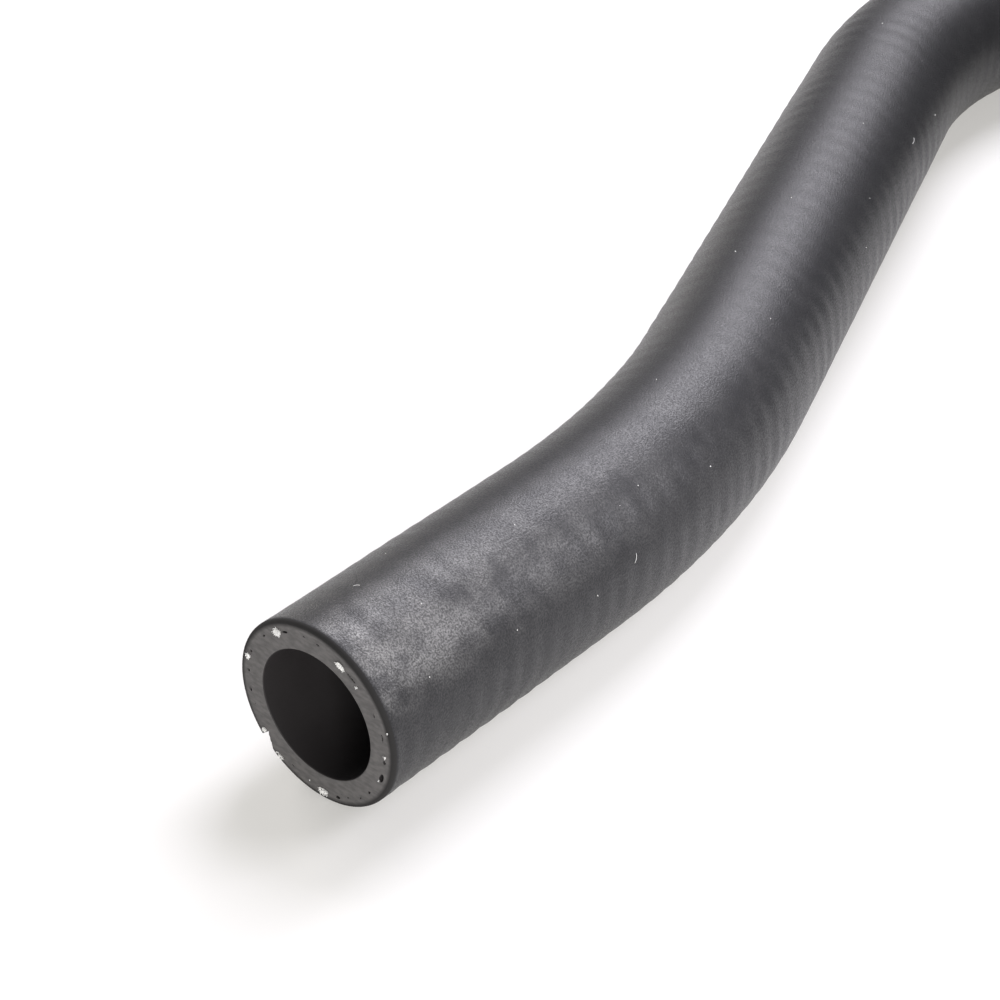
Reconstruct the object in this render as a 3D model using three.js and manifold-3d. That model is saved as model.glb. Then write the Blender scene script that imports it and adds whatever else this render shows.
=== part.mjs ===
// A moulded heater hose: one piece of black rubber over a buried knit of yarn, cured on a bent
// mandrel so that it keeps its shape. Both ends are cut square and slide over a pipe's spigot.
// It lies flat: its whole centreline is one outer radius above the ground.
import * as THREE from "three";
import Module from "manifold-3d";
import { mergeVertices } from "three/addons/utils/BufferGeometryUtils.js";

// Driving dimensions, in millimetres and degrees.
const boreDiameter = 16;
const wallThickness = 3.5;

const nearStraight = 40; // from the near cut to the first bend
const firstBendRadius = 120; // bends are measured on the centreline
const firstBendAngle = 21; // turns left, seen from above
const middleStraight = 85;
const secondBendRadius = 71;
const netTurn = 90; // the far end points this far to the right of the near end
const farStraight = 93; // from the second bend to the far cut

const nickDepth = 1.6; // a torn place in the near cut's outer edge
const nickWidth = 3.6; // round the edge
const nickLength = 1.8; // along the hose
const nickClock = 220; // its steep side, seen from outside the near end: 0 is right, 90 is up

const arcSteps = 16; // facets in half of the round section
const ringSpacing = 8; // between the rings of the swept wall

const boreRadius = boreDiameter / 2;
const outerRadius = boreRadius + wallThickness;
const secondBendAngle = firstBendAngle + netTurn;

// The centreline seen from above, starting at the near cut and heading along +X.
function centreline() {
  const firstBend = THREE.MathUtils.degToRad(firstBendAngle);
  const secondBend = THREE.MathUtils.degToRad(secondBendAngle);
  const quarterTurn = Math.PI / 2;
  const line = new THREE.Path();
  const end = new THREE.Vector2(nearStraight, 0);
  line.moveTo(0, 0);
  line.lineTo(end.x, end.y);

  const firstCentre = new THREE.Vector2(0, firstBendRadius).add(end);
  line.absarc(firstCentre.x, firstCentre.y, firstBendRadius, -quarterTurn, firstBend - quarterTurn, false);

  const heading = new THREE.Vector2(Math.cos(firstBend), Math.sin(firstBend));
  const right = new THREE.Vector2(heading.y, -heading.x);
  end.copy(firstCentre).addScaledVector(right, firstBendRadius);
  end.addScaledVector(heading, middleStraight);
  line.lineTo(end.x, end.y);

  const secondCentre = end.clone().addScaledVector(right, secondBendRadius);
  const startAngle = firstBend + quarterTurn;
  const endAngle = startAngle - secondBend;
  line.absarc(secondCentre.x, secondCentre.y, secondBendRadius, startAngle, endAngle, true);

  heading.set(Math.sin(endAngle), -Math.cos(endAngle));
  end.set(Math.cos(endAngle), Math.sin(endAngle)).multiplyScalar(secondBendRadius).add(secondCentre);
  end.addScaledVector(heading, farStraight);
  line.lineTo(end.x, end.y);
  return line;
}

// The same line in space, level at the height of the hose's axis.
class LevelRoute extends THREE.Curve {
  constructor(line, height) {
    super();
    this.line = line;
    this.height = height;
  }

  getPoint(t, target = new THREE.Vector3()) {
    const p = this.line.getPoint(t);
    return target.set(p.x, p.y, this.height);
  }
}

// The wall: a ring swept along the route, with its bore right through.
function wallGeometry() {
  const line = centreline();
  const ring = new THREE.Shape().absarc(0, 0, outerRadius, 0, 2 * Math.PI, false);
  ring.holes.push(new THREE.Path().absarc(0, 0, boreRadius, 0, 2 * Math.PI, true));
  return new THREE.ExtrudeGeometry(ring, {
    curveSegments: arcSteps,
    steps: Math.round(line.getLength() / ringSpacing),
    extrudePath: new LevelRoute(line, outerRadius),
  });
}

// What the nick takes away: a wedge with one steep side, standing out past the wall and the cut.
function nickGeometry() {
  const spare = 1;
  const steep = THREE.MathUtils.degToRad(nickClock);
  const shallow = steep + nickWidth / outerRadius;
  const root = outerRadius - nickDepth;
  const outside = outerRadius + spare;
  const at = (radius, clock) => [radius * Math.cos(clock), radius * Math.sin(clock)];
  const outline = new THREE.Shape();
  outline.moveTo(...at(root, steep));
  outline.lineTo(...at(outside, steep));
  outline.lineTo(...at(outside, (steep + shallow) / 2));
  outline.lineTo(...at(outside, shallow));
  outline.lineTo(...at(outerRadius, shallow));
  const wedge = new THREE.ExtrudeGeometry(outline, { depth: nickLength + spare, bevelEnabled: false });
  // The outline is drawn as seen from outside the near end: its X is the hose's -Y, its Y is up.
  wedge.translate(0, 0, -nickLength);
  const fromOutside = new THREE.Matrix4().makeBasis(
    new THREE.Vector3(0, -1, 0),
    new THREE.Vector3(0, 0, 1),
    new THREE.Vector3(-1, 0, 0),
  );
  return wedge.applyMatrix4(fromOutside).translate(0, 0, outerRadius);
}

const wasm = await Module();
wasm.setup();

function solidFrom(geometry) {
  const bare = geometry.index ? geometry.toNonIndexed() : geometry.clone();
  bare.deleteAttribute("normal");
  bare.deleteAttribute("uv");
  const merged = mergeVertices(bare, 1e-4);
  return new wasm.Manifold(
    new wasm.Mesh({
      numProp: 3,
      vertProperties: merged.attributes.position.array,
      triVerts: new Uint32Array(merged.index.array),
    }),
  );
}

function geometryFrom(solid) {
  const mesh = solid.getMesh();
  const geometry = new THREE.BufferGeometry();
  geometry.setAttribute("position", new THREE.BufferAttribute(new Float32Array(mesh.vertProperties), 3));
  geometry.setIndex(new THREE.BufferAttribute(new Uint32Array(mesh.triVerts), 1));
  geometry.computeVertexNormals();
  return geometry;
}

const rubber = new THREE.MeshStandardMaterial({ color: 0x2b2b2e, roughness: 0.55, metalness: 0 });

function makeHose() {
  const wall = solidFrom(wallGeometry());
  const nick = solidFrom(nickGeometry());
  const hose = new THREE.Mesh(geometryFrom(wall.subtract(nick)), rubber);
  hose.name = "hose";
  return hose;
}

// The origin is on the ground, in the middle of the hose's box.
const part = new THREE.Group();
const hose = makeHose();
const box = new THREE.Box3().setFromObject(hose);
const middle = box.getCenter(new THREE.Vector3());
hose.position.set(-middle.x, -middle.y, -box.min.z);
part.add(hose);

export default part;
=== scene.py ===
import math
import random

import bmesh
import bpy
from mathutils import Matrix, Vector, noise


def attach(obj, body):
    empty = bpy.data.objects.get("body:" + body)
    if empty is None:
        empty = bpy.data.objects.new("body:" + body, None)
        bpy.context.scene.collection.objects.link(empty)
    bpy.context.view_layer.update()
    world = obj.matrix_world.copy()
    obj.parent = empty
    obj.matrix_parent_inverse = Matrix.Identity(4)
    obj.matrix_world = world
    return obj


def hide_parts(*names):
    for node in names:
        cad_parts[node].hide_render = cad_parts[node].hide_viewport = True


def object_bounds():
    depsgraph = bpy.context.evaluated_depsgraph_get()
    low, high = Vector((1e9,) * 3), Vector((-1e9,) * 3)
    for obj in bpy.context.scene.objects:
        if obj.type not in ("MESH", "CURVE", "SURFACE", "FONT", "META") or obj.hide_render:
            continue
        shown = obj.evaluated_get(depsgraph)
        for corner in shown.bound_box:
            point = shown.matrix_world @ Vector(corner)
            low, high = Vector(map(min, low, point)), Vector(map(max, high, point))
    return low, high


# A moulded heater hose that lies on a pale studio floor. Lengths are in metres, but for those times mm.
mm = 0.001
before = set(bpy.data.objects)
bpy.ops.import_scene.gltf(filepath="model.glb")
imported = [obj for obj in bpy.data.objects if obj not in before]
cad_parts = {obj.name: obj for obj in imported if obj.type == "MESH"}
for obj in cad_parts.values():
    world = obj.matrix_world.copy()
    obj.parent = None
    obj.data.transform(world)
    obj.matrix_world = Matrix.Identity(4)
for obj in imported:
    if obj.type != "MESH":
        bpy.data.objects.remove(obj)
cadLow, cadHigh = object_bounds()
print("frame loaded")


# The hose's middle line

hoseRoute = {
    "outerRadius": 0.0115,
    "boreRadius": 0.008,
    "nearStraight": 0.040,
    "firstRadius": 0.120,
    "firstTurn": 21,  # degrees to the left, seen from above
    "middleStraight": 0.085,
    "secondRadius": 0.071,
    "secondTurn": -111,
    "farStraight": 0.093,
}


def rightOf(heading):
    return Vector((math.sin(heading), -math.cos(heading), 0))


def ahead(heading):
    return Vector((math.cos(heading), math.sin(heading), 0))


def straightStretch(start, heading, length):
    return {"start": start, "heading": heading, "length": length, "turn": 0}


def bendStretch(start, heading, radius, degrees):
    turn = math.radians(degrees)
    side = math.copysign(1, turn)
    return {
        "start": start,
        "heading": heading,
        "length": radius * abs(turn),
        "turn": turn,
        "side": side,
        "radius": radius,
        "centre": start - side * radius * rightOf(heading),
    }


def placeOn(stretch, along):
    # The point at a distance along one stretch, and the heading there
    if not stretch["turn"]:
        return stretch["start"] + along * ahead(stretch["heading"]), stretch["heading"]
    heading = stretch["heading"] + stretch["side"] * along / stretch["radius"]
    return stretch["centre"] + stretch["side"] * stretch["radius"] * rightOf(heading), heading


def layRoute(start):
    r = hoseRoute
    stretches, heading = [], 0.0
    for straight, radius, degrees in (
        (r["nearStraight"], r["firstRadius"], r["firstTurn"]),
        (r["middleStraight"], r["secondRadius"], r["secondTurn"]),
    ):
        stretches.append(straightStretch(start, heading, straight))
        start, heading = placeOn(stretches[-1], straight)
        stretches.append(bendStretch(start, heading, radius, degrees))
        start, heading = placeOn(stretches[-1], stretches[-1]["length"])
    stretches.append(straightStretch(start, heading, r["farStraight"]))
    done = 0.0
    for stretch in stretches:
        stretch["from"] = done
        done += stretch["length"]
    return stretches, done


# The near cut is at the CAD box's low X, and the far cut at its low Y
trial, hoseLength = layRoute(Vector((0, 0, 0)))
dropToFarCut = placeOn(trial[-1], hoseRoute["farStraight"])[0].y
nearCut = Vector((cadLow.x, cadLow.y - dropToFarCut, hoseRoute["outerRadius"]))
stretches, hoseLength = layRoute(nearCut)
farCut, farHeading = placeOn(stretches[-1], hoseRoute["farStraight"])
print(f"route laid, {hoseLength:.4f} m")


# The camera, at the photograph's place

photoCamera = {
    "lens": 96.83,  # in millimetres, as is the sensor
    "sensorWidth": 36,
    "fromNearCut": Vector((-0.15587, -0.16212, 0)),
    "height": 0.1955,
    "heading": 41.07,  # degrees from +X towards +Y
    "lookDown": 34.82,
    "nearest": 0.01,
    "furthest": 20,
}


def makeCamera():
    c = photoCamera
    place = nearCut + c["fromNearCut"]
    place.z = c["height"]
    turn = (math.radians(90 - c["lookDown"]), 0, math.radians(c["heading"] - 90))
    bpy.ops.object.camera_add(location=place, rotation=turn)
    camera = bpy.context.object
    camera.name = "photoCamera"
    camera.data.lens = c["lens"]
    camera.data.sensor_width = c["sensorWidth"]
    camera.data.clip_start = c["nearest"]
    camera.data.clip_end = c["furthest"]
    bpy.context.scene.camera = camera


makeCamera()
print("camera placed")


# Helpers for work by hand

touching = 1e-6  # points nearer than this are one


def clearSelection():
    if bpy.context.object and bpy.context.object.mode != "OBJECT":
        bpy.ops.object.mode_set(mode="OBJECT")
    bpy.ops.object.select_all(action="DESELECT")


def pickOnly(piece):
    clearSelection()
    piece.select_set(True)
    bpy.context.view_layer.objects.active = piece


def applyPlace(piece):
    pickOnly(piece)
    bpy.ops.object.transform_apply(location=True, rotation=True, scale=True)


def selectEdges(piece, wanted):
    # In edit mode, with edges as the select mode
    bm = bmesh.from_edit_mesh(piece.data)
    for edge in bm.edges:
        edge.select_set(wanted(edge.verts[0].co, edge.verts[1].co))
    bm.select_flush_mode()
    bmesh.update_edit_mesh(piece.data)


def measureOnHose(point):
    # Distance along the hose, clock angle round it and distance from its middle line.
    # The clock is 0 on the right, seen from outside the near cut, and 90 degrees at the top.
    for stretch in stretches:
        if stretch["turn"]:
            out = (point - stretch["centre"]) * stretch["side"]
            heading = math.atan2(out.x, -out.y)
            turned = (heading - stretch["heading"]) * stretch["side"]
            turned = (turned + math.pi) % (2 * math.pi) - math.pi
            along = turned * stretch["radius"]
            aside = (math.hypot(out.x, out.y) - stretch["radius"]) * stretch["side"]
        else:
            off = point - stretch["start"]
            along = off.dot(ahead(stretch["heading"]))
            aside = off.dot(rightOf(stretch["heading"]))
        up = point.z - hoseRoute["outerRadius"]
        first, last = stretch is stretches[0], stretch is stretches[-1]
        inside = (first or along >= -touching) and (last or along <= stretch["length"] + touching)
        if inside and math.hypot(aside, up) < 1.5 * hoseRoute["outerRadius"]:
            return stretch["from"] + along, math.atan2(up, aside), math.hypot(aside, up)
    raise ValueError(f"{point} is not on the hose")


# The hose

hose = {
    "sides": 96,
    "ringSpacing": 0.0026,
    "coverCuts": 3,  # in each step of the cover, to make it fine enough for its ribs
    "faceRings": 3,
    "outerRounding": 0.0005,
    "boreRounding": 0.0002,
    "roundingSteps": 5,
    "ribPitchNear": 0.00325,  # the ribs are drawn out beyond the first bend
    "ribPitchFar": 0.00407,
    "pitchGrowsFrom": 0.062,
    "pitchGrowsTo": 0.095,
    "ribStarts": 4,
    "ribHeight": 0.000012,
    "ribHeightAtSides": 0.000042,
    "crossStarts": 5,  # the knit's other slant, fainter
    "crossShare": 0.6,
    "waviness": 0.00003,
    "wavinessSize": 0.011,
    "reliefFade": 0.002,  # the relief dies away towards each cut
    "cutUnevenness": 0.00012,
    "unevennessSize": 0.003,
    "smoothUpTo": 32,  # degrees between faces
}


def ribCount(along):
    # Ribs between the near cut and a place along the hose
    h = hose
    count = min(along, h["pitchGrowsFrom"]) / h["ribPitchNear"]
    span = h["pitchGrowsTo"] - h["pitchGrowsFrom"]
    slope = (h["ribPitchFar"] - h["ribPitchNear"]) / span
    inSpan = min(max(along - h["pitchGrowsFrom"], 0), span)
    count += math.log(1 + slope * inSpan / h["ribPitchNear"]) / slope
    return count + max(along - h["pitchGrowsTo"], 0) / h["ribPitchFar"]


def sweepRing(order):
    # Draws the selected ring along the stretches in this order: 1 is towards the far cut
    for stretch in stretches[::order]:
        count = round(stretch["length"] / hose["ringSpacing"])
        if stretch["turn"]:
            bpy.ops.mesh.spin(
                steps=count,
                angle=-stretch["turn"] * order,  # spin counts the other way round
                center=stretch["centre"],
                axis=(0, 0, 1),
            )
        else:
            step = ahead(stretch["heading"]) * (order * stretch["length"] / count)
            bpy.ops.mesh.extrude_repeat(steps=count, offset=step)


def faceRings(centre, startRadius, endRadius):
    # Draws the selected ring across a cut face in even steps
    radius = startRadius
    for i in range(hose["faceRings"]):
        wider = startRadius + (endRadius - startRadius) * (i + 1) / hose["faceRings"]
        bpy.ops.mesh.extrude_region_move()
        bpy.ops.transform.resize(value=(wider / radius,) * 3, center_override=centre)
        radius = wider


def makeHoseBody():
    r = hoseRoute
    clearSelection()
    bpy.ops.mesh.primitive_circle_add(
        vertices=hose["sides"],
        radius=r["boreRadius"],
        fill_type="NOTHING",
        location=nearCut,
        rotation=(0, math.pi / 2, 0),
    )
    piece = bpy.context.object
    piece.name = "hoseRubber"
    applyPlace(piece)
    bpy.ops.object.mode_set(mode="EDIT")
    bpy.ops.mesh.select_mode(type="EDGE")
    bpy.ops.mesh.select_all(action="SELECT")
    sweepRing(1)
    faceRings(farCut, r["boreRadius"], r["outerRadius"])
    sweepRing(-1)
    faceRings(nearCut, r["outerRadius"], r["boreRadius"])
    bpy.ops.mesh.select_all(action="SELECT")
    bpy.ops.mesh.remove_doubles(threshold=touching)
    bpy.ops.mesh.normals_make_consistent(inside=False)
    return piece


def onRing(a, b, radius, spare=1e-5):
    # Both ends of an edge lie at this distance from the middle line
    return all(abs(measureOnHose(v)[2] - radius) < spare for v in (a, b))


def refineHose(piece):
    # Round the rims first, then cut the cover across between its rings
    r = hoseRoute
    atCut = lambda v: min(v.x - nearCut.x, v.y - farCut.y) < touching
    for radius, rounding in (
        (r["outerRadius"], hose["outerRounding"]),
        (r["boreRadius"], hose["boreRounding"]),
    ):
        selectEdges(piece, lambda a, b: atCut(a) and atCut(b) and onRing(a, b, radius))
        bpy.ops.mesh.bevel(offset=rounding, segments=hose["roundingSteps"], affect="EDGES")
    longEdge = 0.5 * hose["ringSpacing"]
    selectEdges(piece, lambda a, b: (a - b).length > longEdge and onRing(a, b, r["outerRadius"]))
    bpy.ops.mesh.subdivide(number_cuts=hose["coverCuts"])
    bpy.ops.object.mode_set(mode="OBJECT")


hoseRubber = makeHoseBody()
refineHose(hoseRubber)
print("hose swept:", len(hoseRubber.data.polygons), "faces")


def outward(along, clock):
    heading = placeAt(along)[1]
    return math.cos(clock) * rightOf(heading) + math.sin(clock) * Vector((0, 0, 1))


def placeAt(along):
    # The middle line's point and heading at a distance from the near cut
    stretch = [s for s in stretches if s["from"] <= max(along, 0)][-1]
    return placeOn(stretch, along - stretch["from"])


def surfacePoint(along, clockDegrees, radius):
    clock = math.radians(clockDegrees)
    return placeAt(along)[0] + radius * outward(along, clock)


def shapeSurface(piece):
    # Gives the cover its true radius, the knit's ribs and a little waviness.
    # Gives the cut faces some unevenness.
    r, h = hoseRoute, hose
    spare = 1e-5
    for vertex in piece.data.vertices:
        along, clock, radius = measureOnHose(vertex.co)
        fromCut = min(along, hoseLength - along)
        middle = placeAt(along)[0]
        if fromCut > spare and radius > r["outerRadius"] - h["outerRounding"]:
            turns = 2 * math.pi * ribCount(along)
            knit = math.cos(turns - h["ribStarts"] * clock)
            knit += h["crossShare"] * math.cos(turns + h["crossStarts"] * clock)
            wave = noise.noise(vertex.co / h["wavinessSize"])
            aside = math.cos(clock) ** 2
            height = h["ribHeight"] + (h["ribHeightAtSides"] - h["ribHeight"]) * aside
            relief = height * (knit * (1 + wave) - 1) + h["waviness"] * wave
            if fromCut > h["outerRounding"] + spare:
                radius = r["outerRadius"]
            radius += relief * min(1, fromCut / h["reliefFade"])
            vertex.co = middle + radius * outward(along, clock)
        elif fromCut < spare:
            across = (radius - r["boreRadius"]) / (r["outerRadius"] - r["boreRadius"])
            dent = h["cutUnevenness"] * math.sin(math.pi * across)
            dent *= abs(noise.noise(vertex.co / h["unevennessSize"]))
            vertex.co += ahead(placeAt(along)[1]) * (dent if along < hoseLength / 2 else -dent)


shapeSurface(hoseRubber)
print("surface shaped")


# The near cut: pits beside the yarn, a torn nick and the yarn's white ends

nearCutDetail = {
    # All lengths are in millimetres
    # clock degrees, distance from the axis, length round the face and width across it
    "pits": [
        (114.0, 10.05, 1.00, 0.30),
        (158.0, 10.30, 0.34, 0.30),
        (174.7, 10.20, 0.42, 0.34),
        (189.5, 10.20, 0.50, 0.34),
        (200.0, 10.05, 0.24, 0.18),
        (55.5, 9.75, 1.50, 0.30),
        (28.0, 9.90, 0.62, 0.28),
        (12.7, 10.10, 0.80, 0.28),
        (353.9, 10.10, 0.62, 0.52),
        (339.5, 10.15, 1.20, 0.50),
        (318.9, 10.10, 0.42, 0.30),
        (308.0, 10.30, 0.30, 0.18),
        (295.4, 10.20, 0.42, 0.28),
        (285.8, 10.40, 0.62, 0.32),
        (246.8, 10.10, 0.40, 0.20),
        (136.6, 10.20, 0.40, 0.22),
        (85.3, 10.00, 0.55, 0.20),
        (97.0, 10.10, 0.30, 0.16),
    ],
    "pitDepth": 0.8,
    "pitCrumple": 0.5,
    "crumpleCount": 1.5,  # in one ball's radius
    "crumpleRange": 100,  # how far apart the pits' crumples are drawn
    "pitSeed": 5,
    "nickDepth": 1.6,
    "nickWidth": 3.6,
    "nickLength": 1.8,
    "nickClock": 220,
    "nickCurve": 1.3,
    "nickCuts": 9,  # in each edge of the wedge
    "weldWithin": 0.003,
    "tornRoughness": 0.25,
    "tornSize": 0.5,
}


def cutWith(piece, cutter):
    pickOnly(piece)
    boolean = piece.modifiers.new("cut", "BOOLEAN")
    boolean.operation = "DIFFERENCE"
    boolean.solver = "EXACT"
    boolean.object = cutter
    bpy.ops.object.modifier_apply(modifier="cut")
    bpy.data.objects.remove(cutter)


def cutPits(piece):
    # One stretched, crumpled ball for each pit, taken out of the cut face together
    d = nearCutDetail
    random.seed(d["pitSeed"])
    balls = []
    for clock, radius, length, width in d["pits"]:
        clearSelection()
        bpy.ops.mesh.primitive_ico_sphere_add(
            subdivisions=3,
            radius=1,
            location=surfacePoint(0, clock, radius * mm),
            rotation=(-math.radians(clock), 0, 0),
            scale=(d["pitDepth"] * mm, width / 2 * mm, length / 2 * mm),
        )
        ball = bpy.context.object
        crumple = Vector((random.random(), random.random(), random.random()))
        crumple *= d["crumpleRange"]
        for vertex in ball.data.vertices:
            place = vertex.co * d["crumpleCount"] + crumple
            vertex.co *= 1 + d["pitCrumple"] * noise.noise(place)
        applyPlace(ball)
        balls.append(ball)
    clearSelection()
    for ball in balls:
        ball.select_set(True)
    bpy.context.view_layer.objects.active = balls[0]
    bpy.ops.object.join()
    cutWith(piece, balls[0])


def cutNick(piece):
    # A wedge with one steep side, its inner faces torn, stands out past the wall and the cut
    d = nearCutDetail
    depth, width, spare = d["nickDepth"] * mm, d["nickWidth"] * mm, 1 * mm
    outer = hoseRoute["outerRadius"]
    clearSelection()
    bpy.ops.mesh.primitive_cube_add(size=1, location=(0, 0, 0))
    wedge = bpy.context.object
    bpy.ops.object.mode_set(mode="EDIT")
    bpy.ops.mesh.subdivide(number_cuts=d["nickCuts"])
    bpy.ops.object.mode_set(mode="OBJECT")
    for vertex in wedge.data.vertices:
        deep, beside, out = (c + 0.5 for c in vertex.co)
        clock = math.radians(d["nickClock"]) + beside * width / outer
        floor = outer - depth * (1 - beside) ** d["nickCurve"]
        radius = floor + (outer + spare - floor) * out
        along = -spare + (d["nickLength"] * mm + spare) * deep
        torn = noise.noise(Vector((along, clock * outer, radius)) / (d["tornSize"] * mm))
        radius += torn * d["tornRoughness"] * mm * (1 - out)
        along += torn * d["tornRoughness"] * mm * deep
        vertex.co = nearCut + along * ahead(0) + radius * outward(0, clock)
    pickOnly(wedge)
    bpy.ops.object.mode_set(mode="EDIT")
    bpy.ops.mesh.select_all(action="SELECT")
    bpy.ops.mesh.normals_make_consistent(inside=False)
    bpy.ops.object.mode_set(mode="OBJECT")
    cutWith(piece, wedge)


def weldSlivers(piece):
    # The cuts leave points almost on one another, and a few flaps of two faces back to back
    pickOnly(piece)
    bpy.ops.object.mode_set(mode="EDIT")
    bpy.ops.mesh.select_all(action="SELECT")
    bpy.ops.mesh.remove_doubles(threshold=nearCutDetail["weldWithin"] * mm)
    bpy.ops.mesh.dissolve_degenerate(threshold=nearCutDetail["weldWithin"] * mm)
    bpy.ops.mesh.select_mode(type="FACE")
    bpy.ops.mesh.select_all(action="DESELECT")
    bpy.ops.mesh.select_face_by_sides(number=4, type="GREATER")
    bpy.ops.mesh.quads_convert_to_tris()
    bpy.ops.mesh.select_all(action="DESELECT")
    bpy.ops.object.mode_set(mode="OBJECT")
    flaps = {}
    for face in piece.data.polygons:
        flaps.setdefault(frozenset(face.vertices), []).append(face)
    for faces in flaps.values():
        for face in faces:
            face.select = len(faces) > 1
    bpy.ops.object.mode_set(mode="EDIT")
    bpy.ops.mesh.delete(type="ONLY_FACE")
    bpy.ops.object.mode_set(mode="OBJECT")


cutPits(hoseRubber)
cutNick(hoseRubber)
weldSlivers(hoseRubber)
print("near cut worked:", len(hoseRubber.data.polygons), "faces")


# The yarn's cut ends and the lint

yarnEnds = {
    # All lengths are in millimetres
    # clock degrees, distance from the axis, spread round the face and across it, filaments
    "tufts": [
        (121.0, 10.10, 0.55, 0.42, 90),
        (163.5, 10.50, 0.34, 0.30, 60),
        (65.0, 9.80, 0.56, 0.27, 130),
        (48.5, 9.60, 0.14, 0.12, 16),
        (358.5, 10.20, 0.14, 0.12, 18),
        (274.0, 10.30, 0.62, 0.32, 110),
        (262.0, 10.00, 0.06, 0.06, 4),
        (218.0, 10.45, 0.26, 0.34, 40),
        (236.5, 10.60, 0.62, 0.10, 20),
        (336.0, 10.00, 0.08, 0.06, 4),
        (17.0, 11.15, 0.08, 0.06, 5),
    ],
    "filament": 0.06,
    "length": 0.34,
    "lengthSpread": (0.5, 1.3),
    "buried": 0.15,
    "smallTufts": 0.3,  # narrow tufts have shorter filaments
    "lean": -0.5,
    "standsOut": (0.25, 0.45),  # a share of the length at the root, and what the bow adds
    "outShare": 0.8,
    "steps": (0.1, 0.4, 0.7, 1.0),
    "seed": 11,
}


def strandObject(name, strands, thickness):
    # Thin closed tubes along lists of points, as one mesh
    curve = bpy.data.curves.new(name, "CURVE")
    curve.dimensions = "3D"
    curve.bevel_depth = thickness / 2
    curve.bevel_resolution = 1
    curve.use_fill_caps = True
    for points in strands:
        spline = curve.splines.new("POLY")
        spline.points.add(len(points) - 1)
        for knot, point in zip(spline.points, points):
            knot.co = (*point, 1)
    piece = bpy.data.objects.new(name, curve)
    bpy.context.scene.collection.objects.link(piece)
    pickOnly(piece)
    bpy.ops.object.convert(target="MESH")
    bpy.ops.object.mode_set(mode="EDIT")
    bpy.ops.mesh.select_all(action="SELECT")
    bpy.ops.mesh.remove_doubles(threshold=0.1 * touching)
    bpy.ops.mesh.normals_make_consistent(inside=False)
    bpy.ops.object.mode_set(mode="OBJECT")
    bpy.ops.object.shade_smooth()
    return piece


def makeYarn():
    y = yarnEnds
    random.seed(y["seed"])
    atRoot, added = y["standsOut"]
    strands = []
    for clock, radius, spreadRound, spreadAcross, count in y["tufts"]:
        for _ in range(count):
            angle, reach = random.uniform(0, 2 * math.pi), math.sqrt(random.random())
            turned = math.degrees(spreadRound * reach * math.cos(angle) / radius)
            away = spreadAcross * reach * math.sin(angle)
            root = surfacePoint(0, clock + turned, (radius + away) * mm)
            lean = Vector((y["lean"], random.gauss(0, 1), random.gauss(0, 1))).normalized()
            length = y["length"] * random.uniform(*y["lengthSpread"])
            length *= min(1, y["smallTufts"] + spreadRound) * mm
            points = [root + Vector((y["buried"] * mm, 0, 0))]
            for step in y["steps"]:
                bow = lean * step * length
                out = atRoot + added * math.sin(0.5 * math.pi * step)
                bow.x = -length * out * y["outShare"]
                points.append(root + bow)
            strands.append(points)
    return strandObject("yarnEnds", strands, y["filament"] * mm)


yarn = makeYarn()
print("yarn ends made:", len(yarn.data.polygons), "faces")


lint = {
    # along the hose in millimetres, clock degrees, size in millimetres
    "specks": [
        (3.2, 82, 0.20),
        (7.5, 31, 0.16),
        (12, 66, 0.14),
        (16, 112, 0.13),
        (21, 24, 0.18),
        (29, 74, 0.15),
        (34, 12, 0.22),
        (46, 52, 0.17),
        (57, 33, 0.24),
        (63, 96, 0.16),
        (84, 61, 0.18),
        (97, 104, 0.22),
        (113, 88, 0.24),
        (124, 40, 0.15),
        (139, 70, 0.18),
        (158, 22, 0.16),
        (171, 95, 0.20),
    ],
    # along in millimetres, clock degrees, length in millimetres, slant in degrees
    "hairs": [
        (41, 18, 1.1, 60),
        (146, 30, 1.4, 10),
        (9, 100, 0.7, 130),
    ],
    "hairThickness": 0.05,
    "hairPoints": 7,
    "hairBend": 0.15,  # a share of its length
    "scattered": 30,
    "scatteredSizes": (0.07, 0.14),
    "clearOfCuts": 4,
    "seed": 3,
}


def makeLint():
    # Dust specks pressed into the cover, and a few short hairs lying on it
    random.seed(lint["seed"])
    places = [(s * mm, clock, size * mm) for s, clock, size in lint["specks"]]
    margin = lint["clearOfCuts"] * mm
    for _ in range(lint["scattered"]):
        size = random.uniform(*lint["scatteredSizes"]) * mm
        along = random.uniform(margin, hoseLength - margin)
        places.append((along, random.uniform(0, 360), size))
    specks = []
    for along, clock, size in places:
        clearSelection()
        point = surfacePoint(along, clock, hoseRoute["outerRadius"])
        bpy.ops.mesh.primitive_ico_sphere_add(subdivisions=1, radius=size / 2, location=point)
        speck = bpy.context.object
        speck.scale = [random.uniform(0.5, 1.2) for _ in range(3)]
        speck.rotation_euler = [random.uniform(0, math.pi) for _ in range(3)]
        applyPlace(speck)
        specks.append(speck)
    strands = []
    for s, clock, length, slant in lint["hairs"]:
        points = []
        cosine, sine = math.cos(math.radians(slant)), math.sin(math.radians(slant))
        for step in range(lint["hairPoints"]):
            reach = (step / (lint["hairPoints"] - 1) - 0.5) * length
            bend = lint["hairBend"] * length * math.cos(3 * reach / length)
            forward = reach * cosine + bend * sine
            sideways = reach * sine - bend * cosine
            turned = math.degrees(sideways * mm / hoseRoute["outerRadius"])
            lift = hoseRoute["outerRadius"] + lint["hairThickness"] * mm / 2
            points.append(surfacePoint((s + forward) * mm, clock + turned, lift))
        strands.append(points)
    hairs = strandObject("hairs", strands, lint["hairThickness"] * mm)
    clearSelection()
    for piece in (*specks, hairs):
        piece.select_set(True)
    bpy.context.view_layer.objects.active = hairs
    bpy.ops.object.join()
    hairs.name = "lint"
    return hairs


lintPiece = makeLint()
print("lint made:", len(lintPiece.data.polygons), "faces")


# Materials

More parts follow.
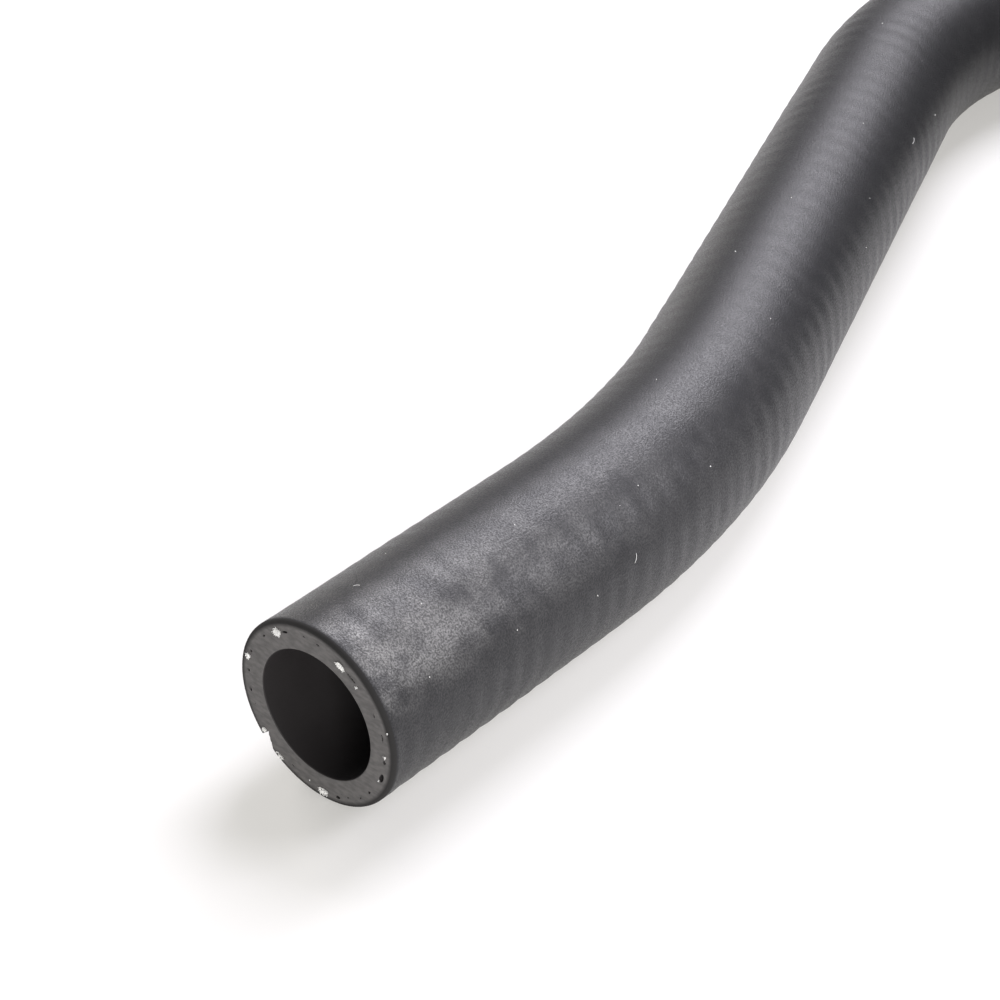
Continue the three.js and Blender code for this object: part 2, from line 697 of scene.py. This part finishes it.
def addNode(tree, kind, inputs=None, **settings):
    # A node with its settings, and with values or other nodes' sockets on its inputs
    node = tree.nodes.new(kind)
    for name, value in settings.items():
        setattr(node, name, value)
    for name, value in (inputs or {}).items():
        if isinstance(value, bpy.types.NodeSocket):
            tree.links.new(value, node.inputs[name])
        else:
            node.inputs[name].default_value = value
    return node


def newMaterial(name, roughness, specular):
    material = bpy.data.materials.new(name)
    material.use_nodes = True
    tree = material.node_tree
    tree.nodes.clear()
    shader = addNode(tree, "ShaderNodeBsdfPrincipled", {"Roughness": roughness})
    shader.inputs["Specular IOR Level"].default_value = specular
    out = addNode(tree, "ShaderNodeOutputMaterial", {"Surface": shader.outputs["BSDF"]})
    out.is_active_output = True
    place = addNode(tree, "ShaderNodeTexCoord").outputs["Object"]
    return material, tree, shader, place


def makeGrainGroup():
    # Rubber's grain, and broad cloudy patches, over a place in metres
    group = bpy.data.node_groups.new("rubberGrain", "ShaderNodeTree")
    group.interface.new_socket("Place", in_out="INPUT", socket_type="NodeSocketVector")
    for name in ("Grain Scale", "Patch Scale"):
        group.interface.new_socket(name, in_out="INPUT", socket_type="NodeSocketFloat")
    for name in ("Grain", "Patches"):
        group.interface.new_socket(name, in_out="OUTPUT", socket_type="NodeSocketFloat")
    given = addNode(group, "NodeGroupInput")
    made = addNode(group, "NodeGroupOutput")
    for scale, output, detail in (("Grain Scale", "Grain", 3), ("Patch Scale", "Patches", 5)):
        cloud = addNode(
            group,
            "ShaderNodeTexNoise",
            {"Vector": given.outputs["Place"], "Scale": given.outputs[scale], "Detail": detail},
        )
        group.links.new(cloud.outputs["Fac"], made.inputs[output])
    return group


grainGroup = makeGrainGroup()


def addGrain(tree, place, grainScale, patchScale):
    return addNode(
        tree,
        "ShaderNodeGroup",
        {"Place": place, "Grain Scale": grainScale, "Patch Scale": patchScale},
        node_tree=grainGroup,
    )


def mapRange(tree, value, low, high, toLow, toHigh):
    node = addNode(
        tree,
        "ShaderNodeMapRange",
        {"Value": value, "From Min": low, "From Max": high, "To Min": toLow, "To Max": toHigh},
    )
    return node.outputs["Result"]


def combine(tree, operation, first, second):
    return addNode(tree, "ShaderNodeMath", {0: first, 1: second}, operation=operation).outputs[0]


def mixColours(tree, factor, first, second):
    node = addNode(tree, "ShaderNodeMix", {"Factor": factor}, data_type="RGBA")
    # Inputs 6 and 7 and output 2 are the node's sockets for colours
    for socket, colour in ((node.inputs[6], first), (node.inputs[7], second)):
        if isinstance(colour, bpy.types.NodeSocket):
            tree.links.new(colour, socket)
        else:
            socket.default_value = (*colour, 1)
    return node.outputs[2]


def addBump(tree, shader, height, depth):
    bump = addNode(tree, "ShaderNodeBump", {"Height": height, "Distance": depth, "Strength": 1})
    tree.links.new(bump.outputs["Normal"], shader.inputs["Normal"])


coverLook = {
    "black": (0.010, 0.010, 0.0115),
    "worn": (0.024, 0.024, 0.026),
    # the lighter tone of chalky bloom, and of a painted highlight near the near cut
    "bloomAndPaintedHighlight": (0.31, 0.305, 0.30),
    "roughness": 0.42,
    "specular": 0.42,
    "roughnessSpread": 0.20,
    "grainScale": 4700,
    "speckle": (0.38, 0.68),  # the grain's values that give the black and the worn tone
    "roughening": (0.35, 0.65),  # and those that give the roughest and the smoothest
    "grainDepth": 0.000062,
    "patchScale": 260,
    "patches": (0.40, 0.62),
    "leastPatch": 0.15,
    "leastBloomAndHighlightGrain": 0.25,
    "edgeRoughness": 0.8,
    "edgeFades": 0.0009,
}


def makeCoverRubber():
    look = coverLook
    material, tree, shader, place = newMaterial("coverRubber", look["roughness"], look["specular"])
    grain = addGrain(tree, place, look["grainScale"], look["patchScale"])
    speckle = mapRange(tree, grain.outputs["Grain"], *look["speckle"], 0, 1)
    rubber = mixColours(tree, speckle, look["black"], look["worn"])
    # Lighter near the near cut: chalky bloom, and a painted highlight on the upper right
    bloomAndHighlight = addNode(tree, "ShaderNodeAttribute", attribute_name="bloomAndPaintedHighlight").outputs["Fac"]
    patches = mapRange(tree, grain.outputs["Patches"], *look["patches"], look["leastPatch"], 1)
    bloomAndHighlight = combine(tree, "MULTIPLY", bloomAndHighlight, patches)
    bloomAndHighlightGrain = mapRange(tree, speckle, 0, 1, look["leastBloomAndHighlightGrain"], 1)
    bloomAndHighlight = combine(tree, "MULTIPLY", bloomAndHighlight, bloomAndHighlightGrain)
    tree.links.new(mixColours(tree, bloomAndHighlight, rubber, look["bloomAndPaintedHighlight"]), shader.inputs["Base Color"])
    spread = look["roughnessSpread"] / 2
    roughest, smoothest = look["roughness"] + spread, look["roughness"] - spread
    rough = mapRange(tree, grain.outputs["Grain"], *look["roughening"], roughest, smoothest)
    fromCut = addNode(tree, "ShaderNodeAttribute", attribute_name="fromCut").outputs["Fac"]
    edge = mapRange(tree, fromCut, hose["outerRounding"], look["edgeFades"], 1, 0)
    edgeRough = addNode(tree, "ShaderNodeMix", {"Factor": edge, 2: rough, 3: look["edgeRoughness"]})
    tree.links.new(edgeRough.outputs[0], shader.inputs["Roughness"])
    addBump(tree, shader, grain.outputs["Grain"], look["grainDepth"])
    return material


cutLook = {
    "grey": (0.099, 0.095, 0.094),
    "dusty": (0.138, 0.132, 0.130),
    "rim": (0.022, 0.021, 0.021),
    "rimWidth": 0.00085,
    "rimStarts": 0.45,  # the share of its width that is all dark
    "roughness": 0.8,
    "specular": 0.25,
    "grainScale": 2400,
    "patchScale": 420,
    "markScale": 2200,
    "markPatchScale": 900,
    "dust": (0.35, 0.65),
    "sawMarks": (1, 0.4, 1),  # the saw went across in +Y, so its marks are long that way
    "sawDepth": 0.000022,
}


def makeCutRubber():
    look = cutLook
    material, tree, shader, place = newMaterial("cutRubber", look["roughness"], look["specular"])
    grain = addGrain(tree, place, look["grainScale"], look["patchScale"])
    stretched = addNode(
        tree,
        "ShaderNodeVectorMath",
        {0: place, 1: look["sawMarks"]},
        operation="MULTIPLY",
    ).outputs[0]
    marks = addGrain(tree, stretched, look["markScale"], look["markPatchScale"])
    dusty = mapRange(tree, marks.outputs["Grain"], *look["dust"], 0, 1)
    rubber = mixColours(tree, dusty, look["grey"], look["dusty"])
    fromRim = addNode(tree, "ShaderNodeAttribute", attribute_name="fromRim").outputs["Fac"]
    inside = mapRange(tree, fromRim, look["rimWidth"] * look["rimStarts"], look["rimWidth"], 0, 1)
    tree.links.new(mixColours(tree, inside, look["rim"], rubber), shader.inputs["Base Color"])
    height = combine(tree, "ADD", grain.outputs["Grain"], marks.outputs["Grain"])
    addBump(tree, shader, height, look["sawDepth"])
    return material


boreLook = {
    "dark": (0.019, 0.0165, 0.0172),
    "light": (0.029, 0.026, 0.0268),
    "roughness": 0.6,
    "specular": 0.4,
    "grainScale": 1500,
    "patchScale": 200,
    "grainDepth": 0.00002,
}
yarnLook = {
    "dark": (0.90, 0.89, 0.87),
    "light": (0.97, 0.97, 0.96),
    "roughness": 0.75,
    "specular": 0.5,
    "grainScale": 3000,
    "patchScale": 900,
    "grainDepth": 0,
}


def makePatchy(name, look):
    # Two tones in broad patches, with a grain where it has a depth
    material, tree, shader, place = newMaterial(name, look["roughness"], look["specular"])
    grain = addGrain(tree, place, look["grainScale"], look["patchScale"])
    colour = mixColours(tree, grain.outputs["Patches"], look["dark"], look["light"])
    tree.links.new(colour, shader.inputs["Base Color"])
    if look["grainDepth"]:
        addBump(tree, shader, grain.outputs["Grain"], look["grainDepth"])
    return material


# Where the cover is lighter: chalky bloom near the near cut, and a painted highlight that fades along
# the hose
bloomAndHighlightSpread = {
    "fadesOver": 0.024,
    "startsAt": 0.0007,
    "startsSoftly": 0.6,
    "middleClock": 60,
    "halfWidth": 42,
    "everywhere": 0.02,
}


def bloomAndHighlightAt(along, clock):
    # Chalky bloom and a painted highlight: strong on the upper right near the near cut, a trace
    # elsewhere, none on the dark rolled edge
    b = bloomAndHighlightSpread
    fromCut = min(along, hoseLength - along)
    turned = (math.degrees(clock) - b["middleClock"] + 180) % 360 - 180
    beside = max(0, 1 - (turned / b["halfWidth"]) ** 2)
    edge = min(1, max(0, fromCut / b["startsAt"] - b["startsSoftly"]))
    return edge * (b["everywhere"] + beside * math.exp(-along / b["fadesOver"]))


def dressHose(piece):
    # Cover, cut and bore by where each face lies
    r = hoseRoute
    innerSkin, outerSkin, shallow = 1 * mm, 0.7 * mm, 0.02 * mm  # no pit comes nearer than these
    for material in (makeCoverRubber(), makeCutRubber(), makePatchy("boreRubber", boreLook)):
        piece.data.materials.append(material)
    places = [measureOnHose(v.co) for v in piece.data.vertices]
    for name, values in (
        ("fromCut", [min(s, hoseLength - s) for s, _, _ in places]),
        ("fromRim", [r["outerRadius"] - radius for _, _, radius in places]),
        ("bloomAndPaintedHighlight", [bloomAndHighlightAt(along, clock) for along, clock, _ in places]),
    ):
        piece.data.attributes.new(name, "FLOAT", "POINT").data.foreach_set("value", values)
    for face in piece.data.polygons:
        along, clock, radius = measureOnHose(face.center)
        fromCut = min(along, hoseLength - along)
        facing = face.normal.dot(outward(along, clock))
        isCover = fromCut > hose["outerRounding"] and facing > 0.5
        isBore = radius < r["boreRadius"] + hose["boreRounding"] / 2 and facing < -0.5
        inWall = r["boreRadius"] + innerSkin < radius < r["outerRadius"] - outerSkin
        isPit = inWall and fromCut > hose["cutUnevenness"] + shallow
        face.material_index = 0 if isCover else 2 if isBore or isPit else 1
    pickOnly(piece)
    bpy.ops.object.shade_smooth_by_angle(angle=math.radians(hose["smoothUpTo"]))


def addRibMap(piece):
    # A UV map that runs once round the hose and counts its ribs along it
    uv = piece.data.uv_layers.new(name="ribs")
    places = [measureOnHose(v.co) for v in piece.data.vertices]
    turns = [(clock / (2 * math.pi)) % 1 for _, clock, _ in places]
    counts = [ribCount(along) for along, _, _ in places]
    for face in piece.data.polygons:
        corners = [turns[v] for v in face.vertices]
        crossesSeam = max(corners) - min(corners) > 0.5
        for loop, vertex, turn in zip(face.loop_indices, face.vertices, corners):
            uv.data[loop].uv = (turn + 1 if crossesSeam and turn < 0.5 else turn, counts[vertex])


dressHose(hoseRubber)
addRibMap(hoseRubber)
whiteYarn = makePatchy("whiteYarn", yarnLook)
yarn.data.materials.append(whiteYarn)
lintPiece.data.materials.append(whiteYarn)
print("materials on")


# What the frame needs to know

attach(hoseRubber, "root")
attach(yarn, "root")
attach(lintPiece, "root")
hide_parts("hose")


# The studio

studio = {
    "floorSize": 6,
    "floorColour": (0.60, 0.60, 0.60),
    "floorRoughness": 0.9,
    "floorSpecular": 0.2,
    "floorGlow": (0.38, 0.37, 0.35),  # like a light table, to keep the shadow faint
    "sky": (1.0, 1.0, 1.0),
    "skyStrength": 0.18,
    # name, lit place, degrees from +X towards +Y, degrees up, distance, width, height, watts, colour
    "lamps": [
        ("backSoftbox", (-0.06, 0.04, 0.0), 19, 48, 0.8, 0.46, 0.56, 7.4, (0.95, 0.93, 1.0)),
        ("sideSoftbox", (-0.135, 0.033, 0.01), -43, 34, 0.15, 0.06, 0.06, 0.11, (0.96, 0.94, 1.0)),
        ("farFill", (-0.06, 0.04, 0.0), 80, 24, 0.8, 0.30, 0.30, 2.6, (1.0, 0.96, 0.91)),
        ("frontFill", (-0.06, 0.04, 0.0), -135, 14, 0.8, 0.30, 0.30, 4.0, (1.0, 0.99, 0.97)),
    ],
}


def makeFloor():
    clearSelection()
    bpy.ops.mesh.primitive_plane_add(size=studio["floorSize"])
    floor = bpy.context.object
    floor.name = "studioFloor"
    roughness, specular = studio["floorRoughness"], studio["floorSpecular"]
    material, _, shader, _ = newMaterial("palePaper", roughness, specular)
    shader.inputs["Base Color"].default_value = (*studio["floorColour"], 1)
    shader.inputs["Emission Color"].default_value = (*studio["floorGlow"], 1)
    shader.inputs["Emission Strength"].default_value = 1
    floor.data.materials.append(material)


def makeLamps():
    for name, aim, azimuth, elevation, distance, width, height, watts, colour in studio["lamps"]:
        clearSelection()
        flat = ahead(math.radians(azimuth)) * math.cos(math.radians(elevation))
        off = (flat + Vector((0, 0, math.sin(math.radians(elevation))))) * distance
        bpy.ops.object.light_add(type="AREA", location=Vector(aim) + off)
        lamp = bpy.context.object
        lamp.name = name
        lamp.rotation_euler = off.to_track_quat("Z", "Y").to_euler()
        lamp.data.shape = "RECTANGLE"
        lamp.data.size, lamp.data.size_y = width, height
        lamp.data.energy = watts
        lamp.data.color = colour


def makeSky():
    world = bpy.data.worlds.new("studioSky")
    bpy.context.scene.world = world
    world.use_nodes = True
    background = world.node_tree.nodes["Background"]
    background.inputs["Color"].default_value = (*studio["sky"], 1)
    background.inputs["Strength"].default_value = studio["skyStrength"]
    bpy.context.scene.view_settings.view_transform = "Standard"


makeFloor()
makeLamps()
makeSky()
print("studio lit")
